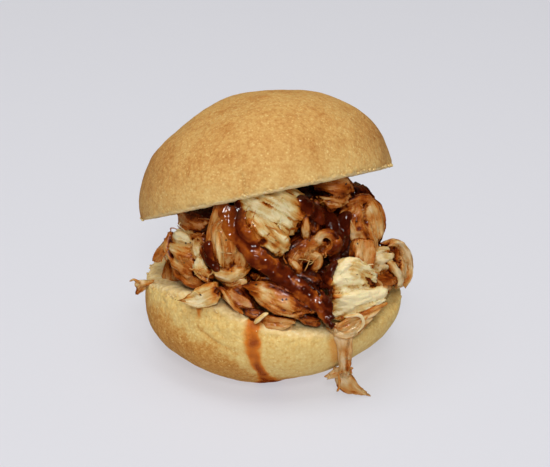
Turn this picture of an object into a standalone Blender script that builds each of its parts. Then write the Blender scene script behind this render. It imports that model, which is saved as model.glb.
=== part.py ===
"""Barbecue chicken slider, in metres and +Z up, with its origin at the middle of the flat foot.

A small round roll is cut in two. The bottom half stands on its foot, a tall heap of pulled chicken in
sauce fills the gap, and the top half leans back on the heap like an open lid. One shred of chicken hangs
over the front of the bottom half down to the table.
"""

import math

import bmesh
import bpy
from mathutils import Matrix, Vector, noise

# Driving dimensions. Lengths are in millimetres until MM turns them into metres, angles in degrees.
MM = 0.001
GAP = 0.35  # air between two pieces that touch

ROLL_SEGMENTS = 48  # faces round each half of the roll
HEEL_RADIUS = 41.0  # bottom half at its widest
HEEL_OVAL = 0.7  # how far its outline swells and pinches from a circle
HEEL_WIDEST_HEIGHT = 20.0
HEEL_SHOULDER = 2.6  # how far the side turns in again, 10 mm above its widest height
HEEL_CUT_MIDDLE = 27.0  # height of the cut face at its middle
HEEL_RIM_HEIGHTS = (23.5, 25.0, 27.0, 28.0, 28.0, 26.5, 25.5, 31.0, 32.5, 27.0, 24.5, 23.0)
HEEL_RIM_ROUNDING = 1.2
FOOT_RADIUS = 20.0
FOOT_SHIFT = Vector((-4.0, -2.0))  # the roll sagged towards its front left, and its foot with it

CROWN_RADIUS = 40.3
CROWN_HEIGHT = 31.0
CROWN_FULLNESS = 2.15
CROWN_MIDDLE = Vector((-1.9, 4.0, 53.0))  # middle of the cut face
CROWN_LEAN = -22.5  # about X: the front edge is up
CROWN_DROP = -12.1  # about Y: the left edge is down

HEAP_VOXEL = 1.5
HEAP_TRIANGLE_SHARE = 0.19  # what Decimate keeps of the remeshed heap
SHRED_VOXEL = 0.8
SHRED_TRIANGLE_SHARE = 0.15


def new_collection(name):
    collection = bpy.data.collections.new(name)
    bpy.context.scene.collection.children.link(collection)
    return collection


def material(name, colour, roughness):
    """A Principled material with one linear RGB colour."""
    made = bpy.data.materials.new(name)
    made.use_nodes = True
    shader = made.node_tree.nodes["Principled BSDF"]
    shader.inputs["Base Color"].default_value = (*colour, 1.0)
    shader.inputs["Roughness"].default_value = roughness
    shader.inputs["Metallic"].default_value = 0.0
    return made


def new_object(name, bm, collection, look=None):
    """Turns a bmesh drawn in millimetres into a smooth-shaded object in metres."""
    bmesh.ops.scale(bm, vec=(MM, MM, MM), verts=bm.verts)
    bmesh.ops.recalc_face_normals(bm, faces=bm.faces)
    mesh = bpy.data.meshes.new(name)
    bm.to_mesh(mesh)
    bm.free()
    mesh.shade_smooth()
    made = bpy.data.objects.new(name, mesh)
    collection.objects.link(made)
    if look:
        mesh.materials.append(look)
    return made


def around(angle, values):
    """A smooth closed curve through values that stand at equal steps round the roll, read at an angle."""
    place = (angle / (2 * math.pi)) % 1.0 * len(values)
    step = int(place)
    t = place - step
    before, start, end, after = (values[(step + k) % len(values)] for k in (-1, 0, 1, 2))
    slope_in = (end - before) / 2
    slope_out = (after - start) / 2
    rise = end - start
    bend = 3 * rise - 2 * slope_in - slope_out
    twist = slope_in + slope_out - 2 * rise
    return start + t * (slope_in + t * (bend + t * twist))


def turned(profile, shape):
    """Spins a profile that runs from pole to pole round Z, then moves each vertex where shape puts it."""
    bm = bmesh.new()
    line = [bm.verts.new((radius, 0.0, height)) for radius, height in profile]
    edges = [bm.edges.new(pair) for pair in zip(line, line[1:])]
    bmesh.ops.spin(
        bm,
        geom=line + edges,
        cent=(0, 0, 0),
        axis=(0, 0, 1),
        angle=2 * math.pi,
        steps=ROLL_SEGMENTS,
        use_merge=True,
    )
    bmesh.ops.remove_doubles(bm, verts=bm.verts, dist=1e-4)
    for vertex in bm.verts:
        radius = math.hypot(vertex.co.x, vertex.co.y)
        angle = math.atan2(vertex.co.y, vertex.co.x)
        vertex.co = shape(radius, angle, vertex.co.z)
    return bm


# Bottom half of the roll: flat foot, bowl-shaped side, and a cut face that dips and rises.


def heel_radius(height, angle):
    """Outer radius of the bottom half at a height above the table."""
    widest = HEEL_RADIUS + HEEL_OVAL * math.cos(2 * angle + 1.6)
    if height >= HEEL_WIDEST_HEIGHT:
        return widest - HEEL_SHOULDER * ((height - HEEL_WIDEST_HEIGHT) / 10) ** 2
    below = 1 - height / HEEL_WIDEST_HEIGHT
    return FOOT_RADIUS + (widest - FOOT_RADIUS) * (1 - below**2)


def heel_profile():
    """Heights run from 0 at the foot to 1 at the rim, and stay at 2 on the cut face, whose radii run to 1."""
    foot = [(0.0, 0.0), (FOOT_RADIUS * 0.55, 0.0), (FOOT_RADIUS, 0.0)]
    side_steps = 12
    side = [(HEEL_RADIUS, (step / side_steps) ** 1.5) for step in range(1, side_steps + 1)]
    cut = [(share, 2.0) for share in (1.0, 0.86, 0.66, 0.44, 0.22, 0.0)]
    return foot + side + cut


def heel_shape(radius, angle, level):
    rim_height = around(angle, HEEL_RIM_HEIGHTS)
    if level == 0.0:
        reach, height = radius, 0.0
    elif level > 1.0:
        reach = radius * (heel_radius(rim_height, angle) - HEEL_RIM_ROUNDING)
        height = HEEL_CUT_MIDDLE + (rim_height - HEEL_CUT_MIDDLE) * radius**2
    else:
        height = level * (rim_height - HEEL_RIM_ROUNDING)
        reach = heel_radius(height, angle)
    shift = FOOT_SHIFT * (1 - min(height / HEEL_WIDEST_HEIGHT, 1))
    return Vector((reach * math.cos(angle) + shift.x, reach * math.sin(angle) + shift.y, height))


# Top half of the roll: a dome with a flat cut face, drawn level and then leaned on the heap.


def crown_profile():
    """Heights run from 1 at the top to 0 at the rim, and stay at -1 on the cut face."""
    dome_steps = 13
    turns = [step / dome_steps * math.pi / 2 for step in range(dome_steps + 1)]
    dome = [(CROWN_RADIUS * math.sin(turn), math.cos(turn)) for turn in turns]
    cut = [(CROWN_RADIUS * share, -1.0) for share in (0.975, 0.7, 0.4, 0.0)]
    return dome + cut


def crown_shape(radius, angle, level):
    across = radius / CROWN_RADIUS
    x, y = radius * math.cos(angle), radius * math.sin(angle)
    if level < 0:
        return Vector((x, y, -0.8 + 0.8 * (1 - across)))
    fullness = CROWN_FULLNESS + 0.1 * math.cos(angle)
    height = CROWN_HEIGHT * max(0.0, 1 - across**fullness) ** (1 / fullness)
    hollow = 1.4 * math.exp(-((x + 22) ** 2 + (y + 4) ** 2) / 10**2)  # flat slope on the left
    swell = 1.2 * math.exp(-((x + 6) ** 2 + y**2) / 11**2)
    return Vector((x, y, height - hollow + swell))


def crown_turn():
    lean = Matrix.Rotation(math.radians(CROWN_LEAN), 4, "X")
    drop = Matrix.Rotation(math.radians(CROWN_DROP), 4, "Y")
    return lean @ drop


def crown_placed(bm):
    bm.transform(Matrix.Translation(CROWN_MIDDLE) @ crown_turn())
    return bm


def crown_cut_height(x, y):
    """Height of the top half's cut face above a point of the table."""
    normal = crown_turn() @ Vector((0, 0, 1))
    from_middle = Vector((x, y)) - CROWN_MIDDLE.xy
    return CROWN_MIDDLE.z - normal.xy.dot(from_middle) / normal.z


# Pulled chicken: lumps of torn meat, melted into one uneven solid.

# Middle of each lump, its half sizes along, into and up, then its pitch and its turn about Z.
FRONT_LUMPS = (
    ((-1, -24, 57), (12, 9, 9.5), -25, 0),
    ((-13, -26, 50), (8, 10, 10.5), -8, -10),
    ((-26.5, -18, 43), (8, 8, 7.5), 10, -35),
    ((-24, -10, 51), (8, 8, 5), 15, -50),
    ((-35, -9, 37.5), (6, 5, 3), 20, -60),
    ((-20, -28, 37.5), (9.5, 6, 5.5), 8, -25),
    ((-9, -32, 35), (6, 5, 4.5), -30, -10),
    ((2.5, -34, 37), (12.5, 5.5, 6), -28, 0),
    ((1, -34, 31), (9, 5, 3.5), -15, 0),
    ((11, -25, 46), (9, 8, 8.5), 30, 10),
    ((9, -21, 56), (3.5, 6, 8), 0, 0),
    ((16, -13, 54), (9, 9, 9), 0, 20),
    ((18.5, -17, 61), (9.5, 9, 6), 12, 5),
    ((27.5, -9, 57), (4.5, 6, 3.2), -25, 30),
    ((27.5, -15, 50.5), (8, 8, 7.5), -10, 35),
    ((27.5, -21, 43.5), (5.5, 7, 7), 0, 35),
    ((35.3, -11, 35.5), (6, 9, 9), -25, 60),
    ((24.5, -28.5, 37.5), (9, 6.5, 10.5), 4, 30),
    ((29.5, -25, 31.5), (7, 5, 3.5), 12, 40),
    ((12.5, -32, 34), (8.5, 4.5, 4), -60, 10),
)
BACK_LUMPS = 13  # places round the back of the heap, each with a lower and an upper lump
BACK_ROWS = ((0.25, 30), (0.72, 25))  # each row's share of the gap's height, and its distance out
BACK_TOP = 46.0  # the heap's height at its sides, where the top half stands clear of it
CORE = ((-1, 1, 42), (28, 28, 21), 0, 0)


def lump(bm, middle, half_sizes, pitch, turn):
    """One torn piece of meat: a ball drawn out into an ellipsoid, with its surface pushed in and out."""
    made = bmesh.ops.create_icosphere(bm, subdivisions=3, radius=1.0)["verts"]
    seed = Vector(middle)
    for vertex in made:
        vertex.co *= 1 + 0.22 * noise.noise(vertex.co * 1.3 + seed)
    stretch = Matrix.Diagonal((*half_sizes, 1.0))
    tilt = Matrix.Rotation(math.radians(-pitch), 4, "Y")
    yaw = Matrix.Rotation(math.radians(turn), 4, "Z")
    bmesh.ops.transform(bm, matrix=Matrix.Translation(seed) @ yaw @ tilt @ stretch, verts=made)


def heap():
    bm = bmesh.new()
    lump(bm, *CORE)
    for place in FRONT_LUMPS:
        lump(bm, *place)
    for number in range(BACK_LUMPS):
        around_heap = 8 + 180 * number / (BACK_LUMPS - 1)
        direction = Vector((math.cos(math.radians(around_heap)), math.sin(math.radians(around_heap))))
        size = 6 + 1.2 * math.sin(1.7 * number + 1)
        for share, distance in BACK_ROWS:
            x, y = direction * (distance + 2 * math.sin(2.4 * number + share))
            top = min(BACK_TOP, crown_cut_height(x, y))
            middle = (x, y, HEEL_CUT_MIDDLE + share * (top - HEEL_CUT_MIDDLE))
            pitch = 25 * math.sin(2.1 * number + share)
            lump(bm, middle, (size + 2, size, size), pitch, around_heap + 90)
    return bm


# The hanging shred: middle of each lump, half sizes, pitch and turn, from the rim down to the table.
SHRED_LUMPS = (
    ((22, -37.5, 27), (5.5, 2.5, 3.5), 20, 25),
    ((20.8, -38.5, 22), (3.6, 2.2, 5), 0, 20),
    ((21.8, -37.3, 16.5), (2.6, 2, 5), 0, 15),
    ((21.5, -35, 12), (2.8, 2.2, 4), 10, 10),
    ((19, -32.5, 9), (3.4, 2, 2.3), 30, 0),
    ((23.5, -33, 6.5), (4.6, 2.2, 2.8), -40, 0),
    ((27.3, -32.5, 2.8), (3.4, 1.8, 1.4), -40, 0),
)


def shred():
    bm = bmesh.new()
    for place in SHRED_LUMPS:
        lump(bm, *place)
    return bm


def melted(made, voxel, share):
    """Joins an object's lumps into one closed skin and thins its triangles out."""
    remesh = made.modifiers.new("Melt lumps together", "REMESH")
    remesh.mode = "VOXEL"
    remesh.voxel_size = voxel * MM
    remesh.use_smooth_shade = True
    decimate = made.modifiers.new("Fewer triangles", "DECIMATE")
    decimate.ratio = share


def cut_clear(made, neighbour, cutters):
    """Cuts an object back to GAP from its neighbour, with a copy of the neighbour grown by GAP."""
    bpy.context.view_layer.update()
    seen = neighbour.evaluated_get(bpy.context.evaluated_depsgraph_get())
    mesh = bpy.data.meshes.new_from_object(seen)
    grown = bpy.data.objects.new(f"{made.name}_clear_of_{neighbour.name}", mesh)
    cutters.objects.link(grown)
    normals = [vertex.normal.copy() for vertex in mesh.vertices]
    for vertex, normal in zip(mesh.vertices, normals):
        vertex.co += normal * GAP * MM
    grown.hide_render = True
    grown.display_type = "WIRE"
    cut = made.modifiers.new(f"Clear of {neighbour.name}", "BOOLEAN")
    cut.operation = "DIFFERENCE"
    cut.solver = "EXACT"
    cut.object = grown


for leftover in list(bpy.data.objects):
    bpy.data.objects.remove(leftover)

slider = new_collection("barbecue_chicken_slider")
cutter_collection = new_collection("cutters")
cutter_collection.hide_render = True

crust_pale = material("pale bread crust", (0.58, 0.38, 0.11), 0.6)
crust_gold = material("golden bread crust", (0.60, 0.36, 0.12), 0.6)
sauced_meat = material("chicken in barbecue sauce", (0.40, 0.16, 0.05), 0.35)
torn_meat = material("torn chicken shred", (0.42, 0.18, 0.07), 0.4)

bun_bottom = new_object("bun_bottom", turned(heel_profile(), heel_shape), slider, crust_pale)
bun_top = new_object("bun_top", crown_placed(turned(crown_profile(), crown_shape)), slider, crust_gold)

chicken_shred = new_object("chicken_shred", shred(), slider, torn_meat)
melted(chicken_shred, SHRED_VOXEL, SHRED_TRIANGLE_SHARE)
cut_clear(chicken_shred, bun_bottom, cutter_collection)

chicken_heap = new_object("chicken_heap", heap(), slider, sauced_meat)
melted(chicken_heap, HEAP_VOXEL, HEAP_TRIANGLE_SHARE)
for touching in (bun_bottom, bun_top, chicken_shred):
    cut_clear(chicken_heap, touching, cutter_collection)
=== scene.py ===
"""Barbecue chicken slider: the looks of each piece, made in the order the slider is put together."""

import math
import random

import bmesh
import bpy
from mathutils import Matrix, Vector, noise
from mathutils.bvhtree import BVHTree
from mathutils.kdtree import KDTree


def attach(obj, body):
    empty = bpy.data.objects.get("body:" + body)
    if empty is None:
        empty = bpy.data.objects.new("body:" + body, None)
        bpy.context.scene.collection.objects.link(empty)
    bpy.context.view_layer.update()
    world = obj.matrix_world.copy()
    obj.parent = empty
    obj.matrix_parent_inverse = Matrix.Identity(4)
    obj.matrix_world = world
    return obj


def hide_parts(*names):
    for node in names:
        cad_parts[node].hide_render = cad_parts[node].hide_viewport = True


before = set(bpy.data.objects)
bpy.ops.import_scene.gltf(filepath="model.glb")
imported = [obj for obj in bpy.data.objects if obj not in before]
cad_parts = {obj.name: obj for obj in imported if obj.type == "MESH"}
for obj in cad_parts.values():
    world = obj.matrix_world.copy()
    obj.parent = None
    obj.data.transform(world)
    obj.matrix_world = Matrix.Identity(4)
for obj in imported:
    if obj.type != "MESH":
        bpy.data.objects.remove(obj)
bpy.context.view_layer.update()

# ---------------------------------------------------------------------------------------------------
# Bottom half of the roll. A soft white slider roll, torn-looking where the knife dragged through it.
# Its crust is thin and matt: pale where the rolls touched in the tin, golden brown round the base.

MM = 0.001
CRUST_GRAIN = 0.55  # spacing of the skin's points, in millimetres


def linear(hex_colour):
    """An sRGB hex colour as the linear values that a socket takes."""
    parts = [int(hex_colour[at : at + 2], 16) / 255 for at in (1, 3, 5)]
    return (*[c / 12.92 if c < 0.04045 else ((c + 0.055) / 1.055) ** 2.4 for c in parts], 1.0)


def add(tree, kind, sockets=None, stops=None, out=0, **settings):
    """Adds a shader node and gives one of its outputs.

    Sockets take a value or another node's output; stops are a ramp's places and colours.
    """
    made = tree.nodes.new("ShaderNode" + kind)
    for name, value in settings.items():
        setattr(made, name, value)
    for name, value in (sockets or {}).items():
        socket = made.inputs[name]
        if isinstance(value, bpy.types.NodeSocket):
            tree.links.new(value, socket)
        else:
            socket.default_value = value
    if stops:
        ramp = made.color_ramp
        while len(ramp.elements) < len(stops):
            ramp.elements.new(0.5)
        for element, (place, colour) in zip(ramp.elements, stops):
            element.position = place
            element.color = linear(colour)
    return made.outputs[out] if made.outputs else None


def new_material(name):
    """An empty node material, and its tree."""
    made = bpy.data.materials.new(name)
    made.use_nodes = True
    made.node_tree.nodes.clear()
    return made, made.node_tree


def clamp(value, low=0.0, high=1.0):
    return max(low, min(high, value))


def ease(value, low, high):
    """0 below low, 1 above high, and smooth between them."""
    t = clamp((value - low) / (high - low))
    return t * t * (3 - 2 * t)


def with_modifiers_applied(made):
    """Replaces an object's mesh with what its modifiers make of it."""
    bpy.context.view_layer.update()
    seen = made.evaluated_get(bpy.context.evaluated_depsgraph_get())
    mesh = bpy.data.meshes.new_from_object(seen)
    made.modifiers.clear()
    made.data = mesh
    return made


def new_object(name, data):
    made = bpy.data.objects.new(name, data)
    bpy.context.scene.collection.objects.link(made)
    return made


def drawn(name, bm):
    """A new object with what was drawn in a bmesh, which it frees."""
    mesh = bpy.data.meshes.new(name)
    bm.to_mesh(mesh)
    bm.free()
    return new_object(name, mesh)


def remeshed(name, bm, voxel, smooth_times=0):
    """One closed skin round everything in a bmesh that is drawn in millimetres, as a new object in metres."""
    bmesh.ops.scale(bm, vec=(MM, MM, MM), verts=bm.verts)
    made = drawn(name, bm)
    skin = made.modifiers.new("Skin", "REMESH")
    skin.mode = "VOXEL"
    skin.voxel_size = voxel * MM
    skin.use_smooth_shade = True
    if smooth_times:
        soften = made.modifiers.new("Soften", "SMOOTH")
        soften.factor = 0.5
        soften.iterations = smooth_times
    return with_modifiers_applied(made)


def surface(made, look):
    """Gives a piece its one material."""
    made.data.materials.clear()
    made.data.materials.append(look)


def write_attribute(mesh, name, values, kind="FLOAT"):
    layer = mesh.attributes.new(name, kind, "POINT")
    if kind == "FLOAT":
        layer.data.foreach_set("value", values)
    else:
        layer.data.foreach_set("vector", [part for value in values for part in value])


def move_points(mesh, places):
    """Puts a mesh's points, in metres, all at once: its normals are worked out anew after each change."""
    mesh.vertices.foreach_set("co", [part for place in places for part in place])
    mesh.update()


def bread_skin(name, cad_node):
    """A fine copy of a bread solid: facets joined to squares, rounded by subdivision and remeshed."""
    bm = bmesh.new()
    bm.from_mesh(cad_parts[cad_node].data)
    bmesh.ops.remove_doubles(bm, verts=bm.verts, dist=0.01 * MM)
    bmesh.ops.join_triangles(
        bm, faces=bm.faces, angle_face_threshold=math.radians(30), angle_shape_threshold=math.radians(60)
    )
    bmesh.ops.scale(bm, vec=(1 / MM, 1 / MM, 1 / MM), verts=bm.verts)
    round_off = drawn(name + "_rounding", bm)
    smoother = round_off.modifiers.new("Round off", "SUBSURF")
    smoother.levels = smoother.render_levels = 2
    with_modifiers_applied(round_off)
    bm = bmesh.new()
    bm.from_mesh(round_off.data)
    bpy.data.objects.remove(round_off)
    return remeshed(name, bm, CRUST_GRAIN)


def pits(point, spacing, depth):
    """Round air cells that the knife opened: one pit in each cell of a Voronoi pattern, of uneven depth."""
    distances, centres = noise.voronoi(point / spacing)
    wanted = 0.35 + 0.65 * noise.cell(centres[0] * 7.3)
    return -depth * wanted * max(0.0, 1 - (distances[0] / 0.5) ** 2)


def crumb_relief(point):
    """Height of the torn crumb, in millimetres, over its smooth cut face."""
    ragged = 0.3 * noise.noise(point / 2.6) + 0.12 * noise.noise(point / 1.1)
    return ragged + pits(point, 3.4, 0.5) + pits(point + Vector((9, 9, 9)), 1.7, 0.2) + 0.1


def crust_relief(point):
    """Height of the crust over its smooth shape: broad dents, puckers and fine blisters."""
    return 0.55 * noise.noise(point / 13) + 0.16 * noise.noise(point / 4.2) + 0.05 * noise.noise(point / 1.3)


def near_line(point, start, end):
    """Distance from a point to a stretch of straight line, both seen from the front."""
    along = Vector((end.x - start.x, end.z - start.z))
    off = Vector((point.x - start.x, point.z - start.z))
    return (off - clamp(off.dot(along) / along.length_squared) * along).length


def bread_half(name, cad_node, cut_normal, cut_point, creases, rolled_in=None):
    """One half's fine skin, with crust and crumb relief. It carries how far each point is crust."""
    made = bread_skin(name, cad_node)
    mesh = made.data
    crust, moved = [], []
    for vertex in mesh.vertices:
        point = vertex.co / MM
        facing = vertex.normal.dot(cut_normal)
        above = (point - cut_point).dot(cut_normal)
        is_cut = ease(facing + 0.2 * noise.noise(point / 1.6), 0.45, 0.75) * ease(above, -9, -7)
        if rolled_in:
            start, end, reach = rolled_in
            turned = math.degrees(math.atan2(point.y, point.x)) % 360
            here = ease(turned, start, start + 18) * (1 - ease(turned, end - 18, end))
            out = math.hypot(point.x, point.y) + 1.5 * noise.noise(point / 3)
            is_cut *= 1 - here * ease(out, reach - 1.5, reach + 1.5)
        height = is_cut * crumb_relief(point) + (1 - is_cut) * crust_relief(point)
        for start, end, width, depth in creases:
            if point.y < 0:
                height -= depth * math.exp(-((near_line(point, start, end) / width) ** 2)) * (1 - is_cut)
        # The foot stays flat on the table.
        if point.z < 0.6 and vertex.normal.z < -0.7:
            height = min(height, 0.0)
        at_rim = (1 - abs(clamp(facing, 0, 1) - 0.5) * 2) * ease(above, -9, -5)
        height += at_rim * (0.7 * noise.noise(point / 1.1) + 0.6 * noise.noise(point / 3.3))
        moved.append(vertex.co + vertex.normal * height * MM)
        crust.append(1 - is_cut)
    move_points(mesh, [(place.x, place.y, max(place.z, 0.0)) for place in moved])
    write_attribute(mesh, "crust", crust)
    return made


# Height up to which the crust is browned, every 30 degrees round from the right hand side.
BROWN_HEIGHTS = (6, 8, 12, 14, 16, 19, 21, 24, 21, 10, 4, 4)


def round_table(angle, values):
    place = (angle / (2 * math.pi)) % 1.0 * len(values)
    step = int(place)
    return values[step] + (values[(step + 1) % len(values)] - values[step]) * ease(place - step, 0, 1)


# The drip runs down the front from under the chicken: places across and up, and half its width there.
DRIP = ((-5.8, 29, 2.9), (-6, 23, 3.0), (-5.2, 17, 2.3), (-3.2, 12, 2.3), (-1.2, 7, 3.6), (-0.8, 3, 5.2))
# Two faint smears beside it: from, to, half the width, and how strong.
SMEARS = (
    (Vector((-21.4, -36, 32)), Vector((-22, -36, 28)), 1.0, 0.5),
    (Vector((18, -38, 22)), Vector((19, -37, 15)), 2.0, 0.35),
)


def drip_depth(point):
    """How thick the sauce lies at a point of the front crust, from 0 to 1."""
    if point.y > -18:
        return 0.0
    smeared = 0.0
    for start, end, half, amount in SMEARS:
        away = near_line(point, start, end) + 0.5 * noise.noise(point / 1.5)
        smeared = max(smeared, amount * (1 - ease(away, half * 0.2, half * 1.3)))
    if smeared or point.z > DRIP[0][1]:
        return smeared
    for (x_high, z_high, wide_high), (x_low, z_low, wide_low) in zip(DRIP, DRIP[1:]):
        if z_low <= point.z <= z_high or (z_low == DRIP[-1][1] and point.z < z_low):
            t = clamp((z_high - point.z) / (z_high - z_low))
            middle = x_high + (x_low - x_high) * t + 0.5 * noise.noise(point / 3)
            half = (wide_high + (wide_low - wide_high) * t) * (1 + 0.3 * noise.noise(point / 2.3))
            full = 0.8 + 0.5 * noise.noise(point / 3.1) + 0.35 * (1 - ease(point.z, 4, 11))
            return full * (1 - ease(abs(point.x - middle), half * 0.25, half * 1.3))
    return 0.0


# Shallow creases where the crust folded: from, to, half the width, and depth.
HEEL_CREASES = (
    (Vector((-21.6, -36, 30.5)), Vector((-22.6, -36, 24.3)), 0.5, 0.22),
    (Vector((-22.6, -36, 24.3)), Vector((-17, -38, 21.4)), 0.5, 0.3),
    (Vector((-17, -38, 21.4)), Vector((-10.5, -39, 19.2)), 0.45, 0.25),
)
# Towards the right the knife left the crust rolled in over the cut: from, to (degrees), and how far out.
HEEL_ROLLED_IN = (292, 385, 30)
HEEL_CUT = Vector((0, 0, 27))
UP = Vector((0, 0, 1))
heel = bread_half("roll_bottom_half", "bun_bottom", UP, HEEL_CUT, HEEL_CREASES, HEEL_ROLLED_IN)
heel_points = [vertex.co / MM for vertex in heel.data.vertices]
browning_and_shade = []
for point in heel_points:
    edge = round_table(math.atan2(point.y, point.x), BROWN_HEIGHTS)
    edge += 2.5 * noise.noise(point / 7) + 1.5 * noise.noise(point / 2)
    # The crust is also coloured darker along the front creases.
    crease = max(math.exp(-((near_line(point, start, end) / 0.6) ** 2)) for start, end, _, _ in HEEL_CREASES)
    browning_and_shade.append(0.56 * (1 - ease(point.z, edge - 3.5, edge + 2.5)) + (0.25 * crease if point.y < 0 else 0))
write_attribute(heel.data, "browning_and_shade", browning_and_shade)
drip = [drip_depth(point) for point in heel_points]
write_attribute(heel.data, "drip", drip)
DRIP_THICKNESS = 0.25  # in millimetres, where it is deepest
thickened = []
for vertex, depth in zip(heel.data.vertices, drip):
    thickened.append(vertex.co + vertex.normal * DRIP_THICKNESS * MM * depth)
move_points(heel.data, thickened)

# Baked bread crust: a dry, matt, finely blistered skin. It gives warm tan with darker freckles and a
# faint sheen at grazing angles. Where it is cut it shows crumb: pale, soft and full of air cells.


def bread_material(name, crust_stops, has_drip):
    made, tree = new_material(name)
    place = add(tree, "TexCoord", out="Object")
    per_mm = add(tree, "Mapping", {"Vector": place, "Scale": (1000, 1000, 1000)})
    upright = add(tree, "Mapping", {"Vector": per_mm, "Scale": (1, 1, 0.14)})
    crust = add(tree, "Attribute", out="Fac", attribute_name="crust")
    browning_and_shade_at = add(tree, "Attribute", out="Fac", attribute_name="browning_and_shade")
    broad = add(tree, "TexNoise", {"Vector": per_mm, "Scale": 0.09, "Detail": 3.0})
    mottle = add(tree, "TexNoise", {"Vector": per_mm, "Scale": 0.8, "Detail": 4.0})
    fine = add(tree, "TexNoise", {"Vector": per_mm, "Scale": 1.7, "Detail": 2.0})
    streaks = add(tree, "TexNoise", {"Vector": upright, "Scale": 0.5, "Detail": 3.0})
    # Blisters about a millimetre apart, in patches, are where the skin baked thin and stayed pale.
    blister = add(tree, "TexVoronoi", {"Vector": per_mm, "Scale": 1.0, "Randomness": 1.0}, feature="F1")
    patch = add(tree, "TexNoise", {"Vector": per_mm, "Scale": 0.3, "Detail": 1.0})
    in_patch = {"Value": patch, "From Min": 0.38, "From Max": 0.62, "To Min": 0.05, "To Max": 0.3}
    at_blister = {"Value": blister, "From Min": 0.12, "From Max": 0.36, "To Min": -1.0, "To Max": 0.0}
    speck, how_pale = add(tree, "MapRange", at_blister), add(tree, "MapRange", in_patch)
    level = add(tree, "Math", {0: speck, 1: how_pale, 2: -0.285}, operation="MULTIPLY_ADD")
    for pattern, amount in ((broad, 0.22), (mottle, 0.55), (fine, 0.45), (streaks, 0.22), (browning_and_shade_at, 0.6)):
        level = add(tree, "Math", {0: pattern, 1: amount, 2: level}, operation="MULTIPLY_ADD")
    colour = add(tree, "ValToRGB", {"Fac": level}, stops=crust_stops)
    crumb_stops = ((0.3, "#DAB87A"), (0.5, "#E8CB8E"), (0.75, "#F2DEAE"))
    crumb_tone = add(tree, "ValToRGB", {"Fac": mottle}, stops=crumb_stops)
    colour = add(tree, "Mix", {"Factor": crust, 6: crumb_tone, 7: colour}, out=2, data_type="RGBA")
    roughness = 0.62
    if has_drip:
        wet = add(tree, "Attribute", out="Fac", attribute_name="drip")
        film_stops = ((0.0, "#DAA858"), (0.3, "#D48E38"), (0.6, "#C96A14"), (1.0, "#8E3608"))
        film = add(tree, "ValToRGB", {"Fac": wet}, stops=film_stops)
        cover = add(tree, "MapRange", {"Value": wet, "From Max": 0.5, "To Max": 0.95})
        colour = add(tree, "Mix", {"Factor": cover, 6: colour, 7: film}, out=2, data_type="RGBA")
        roughness = add(tree, "MapRange", {"Value": wet, "To Min": 0.62, "To Max": 0.25})
    relief = add(tree, "Math", {0: fine, 1: blister}, operation="ADD")
    bump = add(tree, "Bump", {"Height": relief, "Strength": 0.5, "Distance": 0.3 * MM})
    shader = {
        "Base Color": colour,
        "Roughness": roughness,
        "Normal": bump,
        "Subsurface Weight": 0.08,
        "Subsurface Radius": (1.0, 0.6, 0.3),
        "Subsurface Scale": 0.0015,
        "Specular IOR Level": 0.12,
    }
    add(tree, "OutputMaterial", {"Surface": add(tree, "BsdfPrincipled", shader)})
    return made


heel_crust = bread_material(
    "baked bread crust, tin side",
    ((0.2, "#E6CC88"), (0.46, "#DCB86E"), (0.72, "#CB9246"), (1.0, "#A8601C")),
    has_drip=True,
)
surface(heel, heel_crust)
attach(heel, "root")
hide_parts("bun_bottom")

# ---------------------------------------------------------------------------------------------------
# Top half of the roll. The same bread, baked golden on top and freckled with pale pin-head blisters,
# leaning back on the chicken so that its cut face looks forward and down.

crown_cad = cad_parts["bun_top"].data
cut_faces = [face for face in crown_cad.polygons if face.normal.z < -0.75]
cut_area = sum(face.area for face in cut_faces)
crown_normal = sum((face.normal * face.area for face in cut_faces), Vector()).normalized()
crown_middle = sum((face.center * face.area for face in cut_faces), Vector()) / cut_area / MM

CROWN_CREASES = (
    (Vector((-10, -34, 76)), Vector((-9.2, -34, 72.5)), 0.6, 0.15),
    (Vector((-9.2, -34, 72.5)), Vector((-8.1, -31, 66)), 0.6, 0.4),
)
crown = bread_half("roll_top_half", "bun_top", crown_normal, crown_middle, CROWN_CREASES)
browning_and_shade = []
for vertex in crown.data.vertices:
    point = vertex.co / MM
    up = (crown_middle - point).dot(crown_normal)
    # side darkens the two ends of the top half: partly real browning, partly painted shade where the light
    # falls off.
    side = ease(abs(point.x + 2), 22, 42)
    browning_and_shade.append(clamp(ease(up, 0, 12) * 0.34 + 0.30 * side + 0.5 * noise.noise(point / 9) ** 2))
write_attribute(crown.data, "browning_and_shade", browning_and_shade)
crown_crust = bread_material(
    "baked bread crust, top",
    ((0.12, "#E4CA88"), (0.4, "#D5B16F"), (0.64, "#C89957"), (0.98, "#A8662A")),
    has_drip=False,
)
surface(crown, crown_crust)
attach(crown, "root")
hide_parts("bun_top")

# ---------------------------------------------------------------------------------------------------
# Pulled chicken. Cooked breast and thigh torn by hand along the grain: each piece is a bundle of
# muscle strands, tapered and ragged at its ends, curled by the tearing and soaked in sauce where it
# was stirred. The pieces are laid on the roll, and their own weight presses them together.

HEAP_MIDDLE = Vector((0, 6, 40))
noise.seed_set(3)  # Fixes noise_vector, which otherwise starts from the clock.
PIECE_VOXEL = 0.36  # spacing of the skin's points, in millimetres
PATH_STEPS = 24
GOLDEN_ANGLE = 2.4  # Strands that follow one another by this angle lie evenly round a block.
COARSE_FIBRE, FINE_FIBRE = 0.36, 0.17  # heights of the grain, in millimetres


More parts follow.
